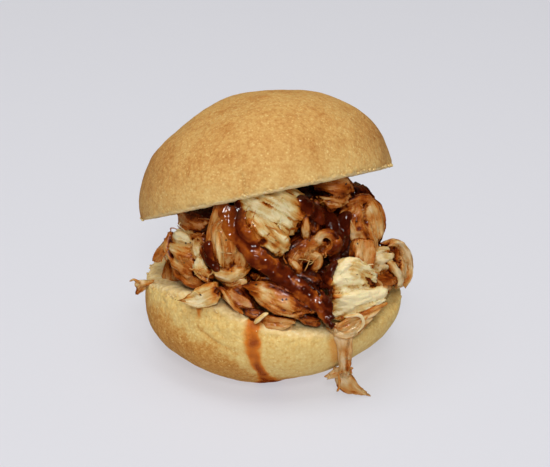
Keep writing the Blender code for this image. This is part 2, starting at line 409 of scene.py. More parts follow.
def strand_bundle(rng, length, wide, thick, strands, blunt):
    """A rounded block of meat along X with a few strands standing out of its sides."""
    bm = bmesh.new()
    for number in range(strands + 1):
        if number == 0:
            middle, share, square = Vector(), 1.0, 0.4
            half_thick, half_wide = thick / 2, wide / 2
        else:
            turn = GOLDEN_ANGLE * number + rng.uniform(-0.3, 0.3)
            share, square = rng.uniform(0.7, 1.06), 0.85
            half = 0.5 * math.sqrt(thick * wide / strands) * rng.uniform(0.7, 1.15)
            half_thick, half_wide = min(half, thick * 0.4), min(half, wide * 0.4)
            middle = Vector(
                (
                    rng.uniform(-0.5, 0.5) * (1 - share) * length,
                    1.12 * math.cos(turn) * (thick / 2 - half_thick),
                    1.12 * math.sin(turn) * (wide / 2 - half_wide),
                )
            )
        skew = Matrix.Rotation(rng.uniform(-0.09, 0.09), 4, "Z")
        skew @= Matrix.Rotation(rng.uniform(-0.09, 0.09), 4, "Y")
        stretch = Matrix.Diagonal((length * share / 2, half_thick, half_wide, 1))
        made = bmesh.ops.create_icosphere(bm, subdivisions=3 if number else 4, radius=1.0)["verts"]
        powers = (blunt, square, square)
        for vertex in made:
            vertex.co = [math.copysign(abs(part) ** power, part) for part, power in zip(vertex.co, powers)]
        bmesh.ops.transform(bm, matrix=Matrix.Translation(middle) @ skew @ stretch, verts=made)
    return bm


def torn_flats(rng, length, wide, thick, count):
    """Planes along which a block was torn or pressed flat: each one's direction, and how far out it lies."""
    planes = []
    for _ in range(count):
        round_x, lean = rng.uniform(0, 2 * math.pi), rng.uniform(-0.7, 0.7)
        aim = Vector((math.sin(lean), math.cos(lean) * math.cos(round_x), math.cos(lean) * math.sin(round_x)))
        reach = Vector((aim.x * length, aim.y * thick, aim.z * wide)).length / 2
        planes.append((aim, reach * rng.uniform(0.8, 1.02)))
    return planes


def mesh_only(made):
    """Takes an object away and keeps its mesh."""
    mesh = made.data
    bpy.data.objects.remove(made)
    return mesh


def curve_through(points):
    """Evenly spaced places and directions along a smooth curve through the points, and its length."""
    if len(points) == 2:
        points = [points[0], (points[0] + points[1]) / 2, points[1]]
    ends = [2 * points[0] - points[1], *points, 2 * points[-1] - points[-2]]
    fine = []
    for a, b, c, d in zip(ends, ends[1:], ends[2:], ends[3:]):
        for step in range(16):
            t = step / 16
            square, cube = (2 * a - 5 * b + 4 * c - d) * t * t, (3 * b - a - 3 * c + d) * t**3
            fine.append(0.5 * (2 * b + (c - a) * t + square + cube))
    fine.append(points[-1].copy())
    far = [0.0]
    for here, there in zip(fine, fine[1:]):
        far.append(far[-1] + (there - here).length)
    places, at = [], 0
    for step in range(PATH_STEPS + 1):
        wanted = far[-1] * step / PATH_STEPS
        while at < len(far) - 2 and far[at + 1] < wanted:
            at += 1
        places.append(fine[at].lerp(fine[at + 1], (wanted - far[at]) / (far[at + 1] - far[at])))
    aims = [(b - a).normalized() for a, b in zip([places[0]] + places[:-1], places[1:] + [places[-1]])]
    return places, aims, far[-1]


def turned_sides(aims, out, roll):
    """Two directions across a path at each of its places: into the heap, and along a strip's width."""
    into = -out.normalized()
    angle = math.radians(roll)
    intos, sides = [], []
    for aim in aims:
        into = (into - into.dot(aim) * aim).normalized()
        intos.append(into * math.cos(angle) + aim.cross(into) * math.sin(angle))
        sides.append(aim.cross(intos[-1]))
    return intos, sides


def cupped(point, wide, angle):
    """Rolls a piece round X so that its edges go back into the heap."""
    if abs(angle) < 0.01:
        return point
    radius = wide / angle
    turn, arm = point.z / radius, radius - point.y
    return Vector((point.x, radius - arm * math.cos(turn), arm * math.sin(turn)))


def fibres(point):
    """Height of the grain: rounded fibres with sharp valleys between them, and here and there a split."""
    wide = noise.noise(Vector((point.x / 16, point.y / 1.7, point.z / 1.7)))
    thin = noise.noise(Vector((point.x / 7, point.y / 0.8, point.z / 0.8)))
    split = noise.noise(Vector((point.x / 20, point.y / 4.2, point.z / 4.2)))
    return (
        COARSE_FIBRE * (min(1.0, abs(wide) * 3.2) - 0.7)
        + FINE_FIBRE * (min(1.0, abs(thin) * 3) - 0.6)
        - 2.0 * COARSE_FIBRE * (1 - min(1.0, abs(split) * 7))
    )


def torn_piece(
    name, path, wide, thick, strands, sauce, pale,
    cup=0, roll=0, ends=(1, 1), blunt=0.6, tear=1.0, grain=1.0, lumps=0.5, flats=9,
):
    """One torn strip whose front lies along the path, in millimetres: its mesh, and each point's looks.

    sauce runs from 0, clean, to 1, coated; pale from 0, tan, to 1, white. cup curls its long edges
    back and roll turns it, in degrees. ends narrows each end, and blunt squares them; tear is how
    ragged they are. grain and lumps say how deep its fibres and dents are, flats how many it has.
    """
    rng = random.Random(name)
    seed = Vector((rng.uniform(0, 90), rng.uniform(0, 90), rng.uniform(0, 90)))
    # The flats and the tearing take a little off, so the block starts a little larger.
    wide, thick = wide * 1.12, thick * 1.05
    points = [Vector(place) for place in path]
    points[0] += (points[0] - points[1]).normalized() * 0.8
    points[-1] += (points[-1] - points[-2]).normalized() * 0.8
    places, aims, length = curve_through(points)
    middle = places[PATH_STEPS // 2]
    out = Vector((middle.x * 0.5, middle.y - HEAP_MIDDLE.y, 7))
    intos, sides = turned_sides(aims, out, roll)
    voxel = clamp(min(thick, wide) / 6, 0.25, 0.62)
    mesh = mesh_only(remeshed(name, strand_bundle(rng, length, wide, thick, strands, blunt), voxel))
    planes = torn_flats(rng, length, wide, thick, flats)
    slim = min(1.0, min(thick, wide) / 5)
    looks = {"grain": [], "stain_and_shade": [], "pale": [], "fibre": []}
    moved = []
    for vertex in mesh.vertices:
        point = vertex.co / MM
        for aim, reach in planes:
            beyond = point.dot(aim) - reach
            if beyond > 0:
                point = point - aim * beyond * 0.9
        near_end = ease(abs(point.x) / (length / 2), 0.5, 1.0)
        torn = tear * slim * near_end * (
            1.8 * noise.noise(Vector((point.x / 9, point.y / 1.1, point.z / 1.1)) - seed)
            + 0.8 * noise.noise(Vector((point.x / 6, point.y / 0.6, point.z / 0.6)) - seed)
        )
        shaped = point + Vector((torn, 0, 0))
        dents = noise.noise_vector(point / 7 + seed) + 0.5 * noise.noise_vector(point / 2.6 - seed)
        shaped += lumps * slim * dents
        along = clamp(shaped.x / length + 0.5)
        narrow = ends[0] + (1 - ends[0]) * ease(along, 0, 0.6)
        narrow *= ends[1] + (1 - ends[1]) * ease(1 - along, 0, 0.6)
        shaped = cupped(Vector((shaped.x, shaped.y * narrow, shaped.z * narrow)), wide, math.radians(cup))
        step = min(int(along * PATH_STEPS), PATH_STEPS - 1)
        part = along * PATH_STEPS - step
        place = places[step].lerp(places[step + 1], part) + aims[step] * (shaped.x - (along - 0.5) * length)
        place += intos[step].lerp(intos[step + 1], part) * (shaped.y + thick / 2 * narrow)
        place += sides[step].lerp(sides[step + 1], part) * shaped.z
        moved.append(place)
        looks["grain"].append(point + seed)
        edge = ease(abs(point.z) / (wide / 2), 0.65, 1.0)
        looks["stain_and_shade"].append(
            sauce
            + 0.26 * noise.noise(point / 4.4 - seed)
            + 0.14 * noise.noise(point / 1.6 + seed)
            + 0.1 * near_end
            + 0.13 * edge
        )
    move_points(mesh, moved)
    looks["pale"] = [pale] * len(moved)
    looks["fibre"] = [grain * slim] * len(moved)
    return mesh, looks


def fused(name, strips, soften=3, voxel=PIECE_VOXEL):
    """One piece of meat made of strips grown together: a skin round them all, with its grain cut in."""
    bm = bmesh.new()
    near = KDTree(sum(len(mesh.vertices) for mesh, _ in strips))
    sources = []
    for mesh, looks in strips:
        bm.from_mesh(mesh)
        for number, vertex in enumerate(mesh.vertices):
            near.insert(vertex.co, len(sources))
            sources.append((looks, number))
        bpy.data.meshes.remove(mesh)
    near.balance()
    mesh = mesh_only(remeshed(name, bm, voxel, soften))
    all_looks = {"grain": [], "stain_and_shade": [], "pale": []}
    moved = []
    for vertex in mesh.vertices:
        point = vertex.co / MM
        found = [(*sources[index], 1 / (0.4 + away)) for _, index, away in near.find_n(point, 7)]
        total = sum(weight for _, _, weight in found)
        mixed = {
            key: sum(looks[key][number] * weight for looks, number, weight in found) / total
            for key in ("stain_and_shade", "pale", "fibre")
        }
        looks, number, _ = found[0]
        grain = looks["grain"][number]
        height = mixed["fibre"] * fibres(grain)
        crinkle = 0.16 * noise.noise(point / 1.3) + 0.22 * noise.noise(point / 2.9)
        moved.append(vertex.co + vertex.normal * (height + crinkle) * MM)
        all_looks["grain"].append(grain)
        # The grain's valleys are coloured darker, the more so where the meat is sauced.
        in_folds = 0.12 + 0.12 * ease(mixed["stain_and_shade"], 0.04, 0.3)
        all_looks["stain_and_shade"].append(mixed["stain_and_shade"] - in_folds * height)
        all_looks["pale"].append(mixed["pale"])
    move_points(mesh, moved)
    return mesh, all_looks


LEFT_PIECES = {
    "left_chunk": (
        # These strips go from white at the top to sauce brown at the bottom: partly the meat's own sauce,
        # partly painted light on the top and painted shade lower down.
        ("left_top", ((-31.5, -16.5, 46.5), (-27.5, -20, 47.3), (-23, -21.5, 45.5)), 5, 8, 5,
         dict(sauce=0.02, pale=0.9, grain=0.6)),
        ("left_face", ((-32.3, -16.5, 43.5), (-28, -21.5, 43.5), (-23.5, -23.5, 42.5)), 6, 7, 5,
         dict(sauce=0.2, pale=0.7, grain=0.5)),
        ("left_rim", ((-31.5, -15.5, 47.5), (-32.8, -17, 43.5), (-31.3, -19.8, 39.5)), 1.6, 5, 2,
         dict(sauce=0.3, pale=0.5, tear=0.3)),
        ("left_middle", ((-31.5, -18, 41), (-27.5, -22.5, 40.5), (-23.5, -25, 38.5)), 6.5, 9, 6,
         dict(sauce=0.38, pale=0.4, grain=0.4)),
        ("left_low", ((-31, -19.5, 38), (-25.5, -24, 36), (-20.5, -26.5, 36)), 4.5, 6, 4,
         dict(sauce=0.46, pale=0.3)),
        ("finger_high", ((-23.5, -21.5, 47.5), (-22.3, -25, 43.5)), 3.6, 4.5, 3,
         dict(sauce=0.14, pale=0.8, tear=0.4)),
        ("finger_low", ((-23.2, -24.5, 44.8), (-21.5, -27.5, 41.5), (-18.5, -29, 39)), 4.8, 5, 3,
         dict(sauce=0.12, pale=0.75, tear=0.3)),
        ("orange_behind", ((-24, -20.5, 47.5), (-18, -23.5, 46)), 5, 6, 4, dict(sauce=0.4, pale=0.3)),
    ),
    "dark_left_chunk": (
        ("dark_left", ((-31, -8.5, 50.5), (-25.5, -14.5, 51), (-21, -18, 49)), 9.5, 8, 5,
         dict(sauce=0.3, pale=0.1, grain=0.4, lumps=0.3)),
        # Painted shade: this piece is coloured darkest, fully sauced, to stand for the shadow under the top
        # half's left edge.
        ("dark_roof_left", ((-26, -13, 56), (-15, -20, 53.5)), 8, 9, 5, dict(sauce=1.0, pale=0.0)),
        ("left_under", ((-32.5, -8, 41.5), (-29, -16.5, 38.5)), 6, 7, 5, dict(sauce=0.4, pale=0.2)),
        ("left_deep", ((-31, -6, 35.5), (-27, -15, 34)), 5, 7, 5, dict(sauce=0.4, pale=0.3)),
    ),
    "left_flap_chunk": (
        ("left_flap", ((-32, -13.5, 43.5), (-34.6, -12.5, 40.5), (-37, -11, 36.5)), 3.2, 2.2, 3,
         dict(sauce=0.34, pale=0.4)),
    ),
    "golden_chunk": (
        ("golden_left", ((-14.5, -26, 61.5), (-16.8, -28, 52), (-16.5, -29.5, 43.5)), 6, 8, 4,
         dict(sauce=0.26, pale=0.45, grain=0.3, lumps=0.3)),
        ("golden_pouch", ((-13.5, -26, 60), (-14, -30, 52), (-13.3, -31.2, 42)), 7.5, 6, 4,
         dict(sauce=0.24, pale=0.35, grain=0.3, lumps=0.3)),
        ("golden_ridge", ((-16.6, -30.8, 54), (-15.8, -32.3, 49.5), (-15, -32.6, 43.5)), 1.5, 4.5, 2,
         dict(sauce=0.2, pale=0.6, tear=0.3, ends=(1.3, 0.8))),
        ("golden_right", ((-12, -27.5, 57), (-9.5, -31, 48.5), (-10.5, -31.5, 42.5)), 5.5, 8, 4,
         dict(sauce=0.26, pale=0.5, grain=0.3, lumps=0.3)),
        ("golden_foot", ((-19, -29.5, 42), (-13.5, -32, 40.6), (-7, -31.5, 43.5)), 4.8, 6, 4,
         dict(sauce=0.16, pale=0.7, grain=0.5)),
        ("purple_fold", ((-20.8, -25.5, 49), (-19.5, -28, 45.5), (-16.8, -29.5, 42.5)), 4, 6, 3,
         dict(sauce=0.58, pale=0.1, grain=0.3)),
    ),
    "cream_chunk": (
        ("cream_wedge", ((-28.3, -30, 32.2), (-22.5, -32.5, 33.6), (-16.5, -33.5, 36.2)), 6, 3.4, 4,
         dict(sauce=0.12, pale=0.85, ends=(0.1, 1.1), grain=0.8, lumps=0.3, blunt=0.22, flats=4)),
    ),
    "hook_chunk": (
        ("orange_hook",
         ((-17, -34.3, 36), (-15.5, -35, 38), (-14, -36, 36), (-12, -36.8, 32.8), (-9.5, -37.2, 31)),
         1.3, 1.8, 2, dict(sauce=0.3, pale=0.5, tear=0.5, lumps=0.4)),
    ),
}
MIDDLE_PIECES = {
    "breast_high_chunk": (
        ("breast_high", ((-11, -26, 64.5), (-1, -29, 61), (8, -27, 53.5)), 14, 12, 10,
         dict(sauce=0.05, pale=1.0, cup=20, tear=0.4, blunt=0.35, lumps=0.2, flats=6, grain=1.15)),
    ),
    "breast_low_chunk": (
        ("breast_low", ((-9.5, -28, 61), (-3.5, -31.3, 55), (3.5, -30.5, 47.5)), 7.5, 8, 6,
         dict(sauce=0.06, pale=0.9, tear=0.4, cup=30, lumps=0.3, blunt=0.45, flats=6)),
    ),
    "fold_chunk": (
        ("brown_fold", ((-15, -33, 36), (-6.5, -35.8, 32)), 6, 7, 3,
         dict(sauce=0.34, pale=0.2, grain=0.3, lumps=0.3)),
        ("shaded_fold", ((-14.5, -31, 39), (-8, -32.5, 36.5)), 6, 6, 4,
         dict(sauce=0.12, pale=0.6, grain=0.4)),
    ),
    "stream_bed_chunk": (
        ("stream_bed", ((-9, -31, 53), (-4.5, -33, 48), (0, -33.5, 44.5), (5.5, -34.5, 41)), 6.5, 8, 5,
         dict(sauce=0.8, pale=0.0, grain=0.5)),
        ("stream_end", ((6, -34.5, 40), (11, -35.5, 36.5), (15.5, -36.8, 31)), 5, 6, 5,
         dict(sauce=0.75, pale=0.0)),
    ),
    "slab_chunk": (
        ("long_slab", ((-9.5, -33.5, 37.6), (-2.5, -36.5, 36.6), (5, -38, 33.6), (13, -38, 31.2)), 7.5, 7, 8,
         dict(sauce=0.28, pale=0.55, ends=(0.8, 0.5), grain=0.7, lumps=0.35, blunt=0.45)),
    ),
    "slab_back_chunk": (
        ("long_slab_back", ((-7, -31, 40), (4, -33.5, 38), (12, -34.5, 35)), 6, 7, 5,
         dict(sauce=0.45, pale=0.3)),
        ("under_curl", ((4, -30, 41.5), (10, -31, 39), (17, -31, 38.5)), 6, 7, 5, dict(sauce=0.8, pale=0.0)),
    ),
    "scrap_chunk": (
        ("red_scrap", ((-9, -36, 30.3), (-2, -37.5, 29.5)), 4, 4, 4, dict(sauce=0.66, pale=0.1)),
        ("flat_scrap", ((-4, -37, 28.3), (1, -38.2, 28.2), (6, -38, 27.6)), 4.2, 3, 4,
         dict(sauce=0.24, pale=0.4, lumps=0.4)),
        ("scrap_end", ((8.5, -37, 29.5), (13.5, -37, 28)), 3, 3, 3, dict(sauce=0.55, pale=0.2)),
    ),
    "chip_chunk": (
        ("pale_chip", ((-5, -38.6, 29.2), (-1.8, -38.6, 31.6)), 1.5, 1.3, 2,
         dict(sauce=0.1, pale=0.9, tear=0.6)),
    ),
    "curl_chunk": (
        ("curl_band", ((4, -29, 43), (7, -28.5, 47), (12, -26, 49.5), (18, -24.5, 49.3)), 6, 6, 5,
         dict(sauce=0.46, pale=0.35, grain=0.6, lumps=0.4)),
        ("curl_fill", ((8, -26, 44), (12.5, -25, 46.5), (16.5, -25, 48.5)), 5, 5, 3,
         dict(sauce=0.4, pale=0.4, grain=0.6)),
        ("curl_ring",
         ((13.8, -26, 46.6), (13.4, -26, 49.3), (15.6, -26, 51.3),
          (18, -26, 50.1), (17.8, -26, 47.5), (15.6, -26.3, 46.3)),
         2.3, 3.0, 2, dict(sauce=0.2, pale=0.45, tear=0.1, grain=0.3, lumps=0.4)),
        ("curl_lobe", ((5, -29.5, 45), (8.5, -31, 40.5)), 3.6, 5, 3, dict(sauce=0.36, pale=0.4, grain=0.4)),
        ("curl_inside", ((8.5, -28.5, 43.5), (11, -28, 45.8), (14, -27.5, 44), (12.5, -29, 41)), 3, 4, 3,
         dict(sauce=0.32, pale=0.4, grain=0.4)),
    ),
    "thin_fold_chunk": (
        ("thin_fold", ((9.5, -25, 60), (10.2, -28, 51)), 2.2, 5, 3, dict(sauce=0.3, pale=0.4, tear=0.4)),
        ("brown_upright", ((13, -21, 60), (12, -25.5, 50)), 4.6, 6, 4, dict(sauce=0.45, pale=0.1, grain=0.5)),
    ),
    "wet_chunk": (
        ("wet_lump", ((14, -15, 58), (17, -19.5, 53.5), (19, -21, 50)), 7, 8, 4,
         dict(sauce=0.82, pale=0.0, grain=0.4)),
    ),
    "strings_chunk": (
        ("sauced_strings", ((7, -32, 40), (11.5, -34.8, 36.5), (16, -37, 32)), 4.6, 4, 7,
         dict(sauce=0.7, pale=0.1, tear=1.6)),
    ),
    "loose_chunk": (
        ("loose_string", ((12.3, -35.5, 34.5), (14.5, -37.8, 31.5), (17, -39, 28)), 1.7, 1.5, 3,
         dict(sauce=0.5, pale=0.2)),
    ),
    "deep_chunk": (
        ("deep_middle", ((-2, -25, 46), (8, -24, 44)), 9, 9, 6, dict(sauce=0.85, pale=0.0)),
        ("deep_low", ((-6, -28, 41), (5, -29, 40)), 7, 8, 6, dict(sauce=0.75, pale=0.1)),
    ),
}
RIGHT_PIECES = {
    "roof_chunk": (
        ("roof_right", ((12, -17, 63.5), (19.5, -18, 64), (26, -14.5, 61)), 8, 9, 6,
         dict(sauce=0.46, pale=0.2, grain=0.5, lumps=0.4)),
        ("roof_low", ((13.5, -19, 60), (18.5, -19.5, 59), (25, -17, 58.3)), 5, 8, 4,
         dict(sauce=0.22, pale=0.4, grain=0.8)),
        ("roof_flap", ((26.5, -9.5, 61), (32, -7.5, 54)), 4.2, 4, 3, dict(sauce=0.6, pale=0.1)),
    ),
    "right_fold_chunk": (
        ("right_band",
         ((23, -17, 57.5), (27.5, -15, 58.5), (31.8, -12.5, 55.5), (34.3, -11, 49.5), (34.8, -12.5, 42.5)),
         2.6, 6, 3, dict(sauce=0.42, pale=0.3, grain=0.5, lumps=0.3)),
        ("right_pale", ((28, -15.5, 58), (31.2, -15.4, 52), (32.6, -17, 42.5)), 6.2, 7, 4,
         dict(sauce=0.26, pale=0.5, grain=0.8, lumps=0.4)),
        ("right_near", ((26, -17.5, 57.5), (25.2, -19.8, 52.5), (28, -21, 45.5)), 5.6, 8, 4,
         dict(sauce=0.24, pale=0.3, grain=0.4, lumps=0.9)),
        ("right_between", ((28.5, -18, 52.5), (30.5, -19.5, 45)), 5, 6, 3,
         dict(sauce=0.26, pale=0.4, grain=0.4)),
    ),
    "right_lobe_chunk": (
        ("right_lobe", ((29, -21.5, 48), (28.8, -24, 43), (27.3, -27, 37.5)), 8.8, 9, 3,
         dict(sauce=0.31, pale=0.3, tear=0.2, grain=0.5, lumps=0.3, ends=(1, 0.7), flats=5)),
        ("right_lobe_behind", ((31, -16.5, 47.5), (31.5, -18.5, 41)), 5, 6, 3,
         dict(sauce=0.22, pale=0.4, tear=0.3, grain=0.4)),
    ),
    "far_loop_chunk": (
        ("far_lip",
         ((34, -14.5, 42.5), (35.5, -16, 40), (38, -16, 36.5), (40, -15, 32), (40.5, -13.5, 27)),
         2.4, 2.6, 3, dict(sauce=0.04, pale=0.6, tear=0.3, grain=0.4, lumps=0.4)),
        ("far_back",
         ((35, -13, 43), (39, -11, 42), (42.3, -8, 36.5), (43.5, -7, 30.5), (42.5, -8, 26)),
         4, 5, 4, dict(sauce=0.08, pale=0.45, grain=0.6)),
        ("far_inside", ((37, -12.5, 41), (40, -11.3, 36.5)), 5, 5, 3, dict(sauce=0.42, pale=0.2)),
        ("far_fill", ((40, -12.5, 36.5), (41.8, -11, 27.5)), 4.5, 5, 3, dict(sauce=0.2, pale=0.45)),
    ),
    "far_face_chunk": (
        ("far_face", ((28.5, -21, 38), (33, -18.5, 39.5), (37.5, -15.5, 37.5)), 8, 7, 7,
         dict(sauce=0.0, pale=0.75, grain=1.2)),
        ("far_band", ((28.5, -23, 34), (33.5, -20.3, 33.8), (39.5, -17, 33)), 4, 7, 4,
         dict(sauce=0.46, pale=0.1, grain=0.5)),
        ("far_low", ((28, -25.5, 32), (39, -16, 29)), 5, 7, 5, dict(sauce=0.24, pale=0.3)),
    ),
    "white_chunk": (
        ("white_block_high", ((17.3, -33, 39), (23, -32.8, 40), (31, -28, 36.5)), 12, 8, 7,
         dict(sauce=-0.12, pale=1.0, blunt=0.3, cup=10, ends=(1.05, 0.5), lumps=0.2, flats=5)),
        ("white_block_low", ((17.5, -36, 30.8), (24.5, -36, 32.6), (34.5, -29.5, 33.4)), 7.6, 8, 6,
         dict(sauce=-0.12, pale=1.0, blunt=0.3, ends=(1.05, 0.7), lumps=0.2, flats=5)),
    ),
    "side_string_chunk": (
        ("orange_string_side", ((26, -29.5, 41), (29.5, -28, 37), (31.5, -26, 33)), 3, 3, 6,
         dict(sauce=0.3, pale=0.4, tear=2.4)),
        ("side_crumbles", ((30, -27, 38), (33.5, -24.5, 33)), 2.6, 3, 5,
         dict(sauce=0.36, pale=0.4, tear=2.4)),
    ),
    "low_string_chunk": (
        ("low_string_1", ((18.5, -38, 27), (23, -37.2, 29), (28, -34.5, 29.8)), 1.6, 1.6, 3,
         dict(sauce=0.2, pale=0.5, tear=1.5)),
        ("low_string_2", ((19.5, -38.2, 25.6), (24, -37.4, 27.4), (32.5, -32, 30.4)), 1.3, 1.5, 3,
         dict(sauce=0.14, pale=0.5, tear=1.5)),
        ("low_string_3", ((24, -36.5, 29.5), (29, -34, 30.5), (34, -30, 31.5)), 1.5, 1.8, 3,
         dict(sauce=0.32, pale=0.4, tear=1.5)),
        ("low_crumbles", ((17.5, -38.3, 27.8), (22, -37.8, 26.2), (25.5, -36.5, 26)), 2.6, 2.2, 5,
         dict(sauce=0.22, pale=0.4, tear=2.4)),
    ),
    "rim_scrap_chunk": (
        ("rim_scrap", ((-39.5, -8, 27.5), (-42, -6.5, 26.2), (-43.4, -5.5, 24.8)), 2.6, 2.4, 4,
         dict(sauce=0.24, pale=0.5, tear=2.2)),
        ("rim_scrap_low", ((-41, -7, 26), (-43, -6, 23.2)), 2, 2, 4, dict(sauce=0.3, pale=0.5, tear=2.2)),
        ("rim_scrap_string", ((-42, -6.5, 26.5), (-44, -5, 27), (-45, -4.5, 26.2)), 0.9, 0.9, 2,
         dict(sauce=0.2, pale=0.5, tear=1)),
    ),
    "deep_right_chunk": (
        # Painted shade: deep_right is coloured nearly black to stand for the shadow in the hollow beside the
        # right stream.
        ("deep_right", ((20, -20, 48), (24, -24, 41)), 8, 8, 6, dict(sauce=0.9, pale=0.0)),
        ("deep_roof", ((6, -12, 62), (22, -10, 60)), 10, 9, 7, dict(sauce=0.9, pale=0.0)),
    ),
}
GROUPS = {"chicken_left": LEFT_PIECES, "chicken_middle": MIDDLE_PIECES, "chicken_right": RIGHT_PIECES}
# Chunks so thin that they need a finer skin, softened less.
THIN = {
    "chip_chunk",
    "hook_chunk",
    "left_flap_chunk",
    "loose_chunk",
    "low_string_chunk",
    "rim_scrap_chunk",
    "side_string_chunk",
    "strings_chunk",
}
THIN_VOXEL = 0.26
groups = {}
for group, chunks in GROUPS.items():
    for chunk, strips in chunks.items():
        laid = [torn_piece(*place, **extra) for *place, extra in strips]
        piece = fused(chunk, laid, 2, THIN_VOXEL) if chunk in THIN else fused(chunk, laid)
        groups.setdefault(group, []).append(piece)

# The heap goes on round the sides and the back, where pieces lie in three rows, one on the other.
BACK_PLACES = 13
# Each row's share of the way up from the bottom half to the top half, and how far out it lies.
BACK_ROWS = ((0.12, 31), (0.48, 29.5), (0.85, 25))
BACK_LOW, BACK_HIGH = 26.5, 47  # heights that the middles of these pieces keep between
BACK_VOXEL = 0.48
rng = random.Random(7)


def roof_height(x, y):
    """Height of the crown's cut face over a place on the table."""
    slope = crown_normal.x * (x - crown_middle.x) + crown_normal.y * (y - crown_middle.y)
    return crown_middle.z - slope / crown_normal.z


for number in range(BACK_PLACES):
    for row, (share, out) in enumerate(BACK_ROWS):
        angle = math.radians(-2 + 194 * (number + 0.5 * (row % 2)) / (BACK_PLACES - 0.5))
        direction = Vector((math.cos(angle), math.sin(angle), 0))
        beside = Vector((-direction.y, direction.x, 0))
        at = direction * (out + rng.uniform(-1, 1.5))
        top = min(BACK_HIGH, roof_height(at.x, at.y) - 1)
        at.z = BACK_LOW + share * (top - BACK_LOW)
        reach = rng.uniform(6, 9.5)
        slope = Vector((0, 0, rng.uniform(-0.7, 0.7)))
        bow = direction * rng.uniform(-0.5, 2.5) + Vector((0, 0, rng.uniform(-2, 2)))
        saucy = rng.choice((0.0, 0.1, 0.2, 0.3, 0.4, 0.55))
        if number in (0, BACK_PLACES - 1):
            saucy = 0.5
        piece = torn_piece(
            f"back_{number}_{row}",
            (at - (beside + slope) * reach, at + bow, at + (beside + slope) * reach),
            rng.uniform(6, 9),
            rng.uniform(6, 8),
            rng.randint(5, 8),
            sauce=saucy,
            pale=rng.uniform(0.3, 1.0) if saucy < 0.3 else rng.uniform(0, 0.4),
            cup=rng.uniform(0, 50),
            roll=rng.uniform(-20, 20),
            grain=rng.uniform(0.4, 1.0),
        )
        side = "chicken_back_right" if angle < math.pi / 2 else "chicken_back_left"
        groups.setdefault(side, []).append(fused(f"back_chunk_{number}_{row}", [piece], 2, BACK_VOXEL))

# The core is the meat that no one sees whole: short pieces stuck together and coated with sauce.
# It is four overlapping lumps: the middle of each, and half its size each way.
CORE_LUMPS = (
    (0, 2, 41, 24, 25, 17),
    (10, -8, 48, 14, 12, 13),
    (-12, -10, 45, 13, 12, 9),
    (20, -6, 42, 13, 12, 9),
)
CORE_VOXEL = 0.8
core_bm = bmesh.new()
for x, y, z, half_x, half_y, half_z in CORE_LUMPS:
    made = bmesh.ops.create_icosphere(core_bm, subdivisions=4, radius=1.0)["verts"]
    stretch = Matrix.Diagonal((half_x, half_y, half_z, 1))
    bmesh.ops.transform(core_bm, matrix=Matrix.Translation((x, y, z)) @ stretch, verts=made)
core_mesh = mesh_only(remeshed("heap_core", core_bm, CORE_VOXEL))
core_stain, core_places = [], []
for vertex in core_mesh.vertices:
    point = vertex.co / MM
    bumpy = 1.6 * noise.noise(point / 5) + 0.7 * noise.noise(point / 2)
    core_places.append(vertex.co + vertex.normal * bumpy * MM)
    core_stain.append(0.8 + 0.2 * noise.noise(point / 4))
move_points(core_mesh, core_places)
core_grain = [vertex.co / MM for vertex in core_mesh.vertices]
core_looks = {"grain": core_grain, "stain_and_shade": core_stain, "pale": [0.0] * len(core_stain)}
groups["heap_core"] = [(core_mesh, core_looks)]


def joined(name, pieces):
    """One object made of several pieces, and their attributes one after the other."""
    bm = bmesh.new()
    for mesh, _ in pieces:
        bm.from_mesh(mesh)
    looks = {key: [value for _, found in pieces for value in found[key]] for key in pieces[0][1]}
    return drawn(name, bm), looks


def write_looks(mesh, looks):
    for key, values in looks.items():
        write_attribute(mesh, key, values, "FLOAT_VECTOR" if key == "grain" else "FLOAT")


heap = {name: joined(name, pieces) for name, pieces in groups.items()}
everything = bmesh.new()
for made, _ in heap.values():
    everything.from_mesh(made.data)
heap_tree = BVHTree.FromBMesh(everything)
everything.free()

# The sauce was poured in streams. Each is given by places that it passes, and half its width there.
SAUCE_STREAMS = (
    (
        (-12.5, -30, 64, 3.6),
        (-10.5, -33, 58, 3.8),
        (-7.5, -34, 52.5, 3.1),
        (-4, -35, 48, 2.7),
        (0.5, -36, 45, 2.6),
        (3.7, -36.5, 41.8, 3.2),
        (8.1, -37, 39.2, 2.4),
        (11.7, -37, 36, 2.2),
        (15, -37.5, 32.3, 1.8),
        (17, -38, 28.3, 1.1),
    ),
    (
        (21.8, -22, 55.5, 2.0),
        (21.2, -24, 53.0, 2.1),
        (20.9, -26, 49.4, 1.9),
        (18.0, -28, 44.6, 1.7),
        (16.0, -32, 40.0, 1.7),
        (16.4, -36, 34.5, 1.3),
        (17.4, -38.3, 28.5, 1.0),
    ),
    ((9, -27, 63, 1.8), (12, -24, 58.5, 2.2), (16, -22, 55.5, 2.5), (20, -22, 52, 1.7)),
    ((-19, -26, 48.5, 1.2), (-18.5, -29, 45, 1.4), (-16.5, -31, 43, 0.9)),
)
STREAM_STEPS = 9  # places looked at between two of those given
stream_places = KDTree(sum((len(stream) - 1) * STREAM_STEPS for stream in SAUCE_STREAMS))
stream_halves = []
for stream in SAUCE_STREAMS:
    for here, there in zip(stream, stream[1:]):
        for step in range(STREAM_STEPS):
            x, y, z, half = [a + (b - a) * step / STREAM_STEPS for a, b in zip(here, there)]
            stream_places.insert((x, y, z), len(stream_halves))
            stream_halves.append(half)
stream_places.balance()

# Where the pieces leave a hollow the meat is coloured darker, for sauce that has run in and stayed there
# and as painted shade: six looks out from each point tell how deep.
LOOK_TURNS = (0, 1.05, 2.09, 3.14, 4.19, 5.24)
LOOKS = [Vector((math.cos(turn), math.sin(turn), 0.75)).normalized() for turn in LOOK_TURNS]
POOL_REACH = 5.0
POOL_SAUCE_AND_SHADE, STREAM_STAIN = 0.62, 0.34  # the most that a hollow and a stream beside it add
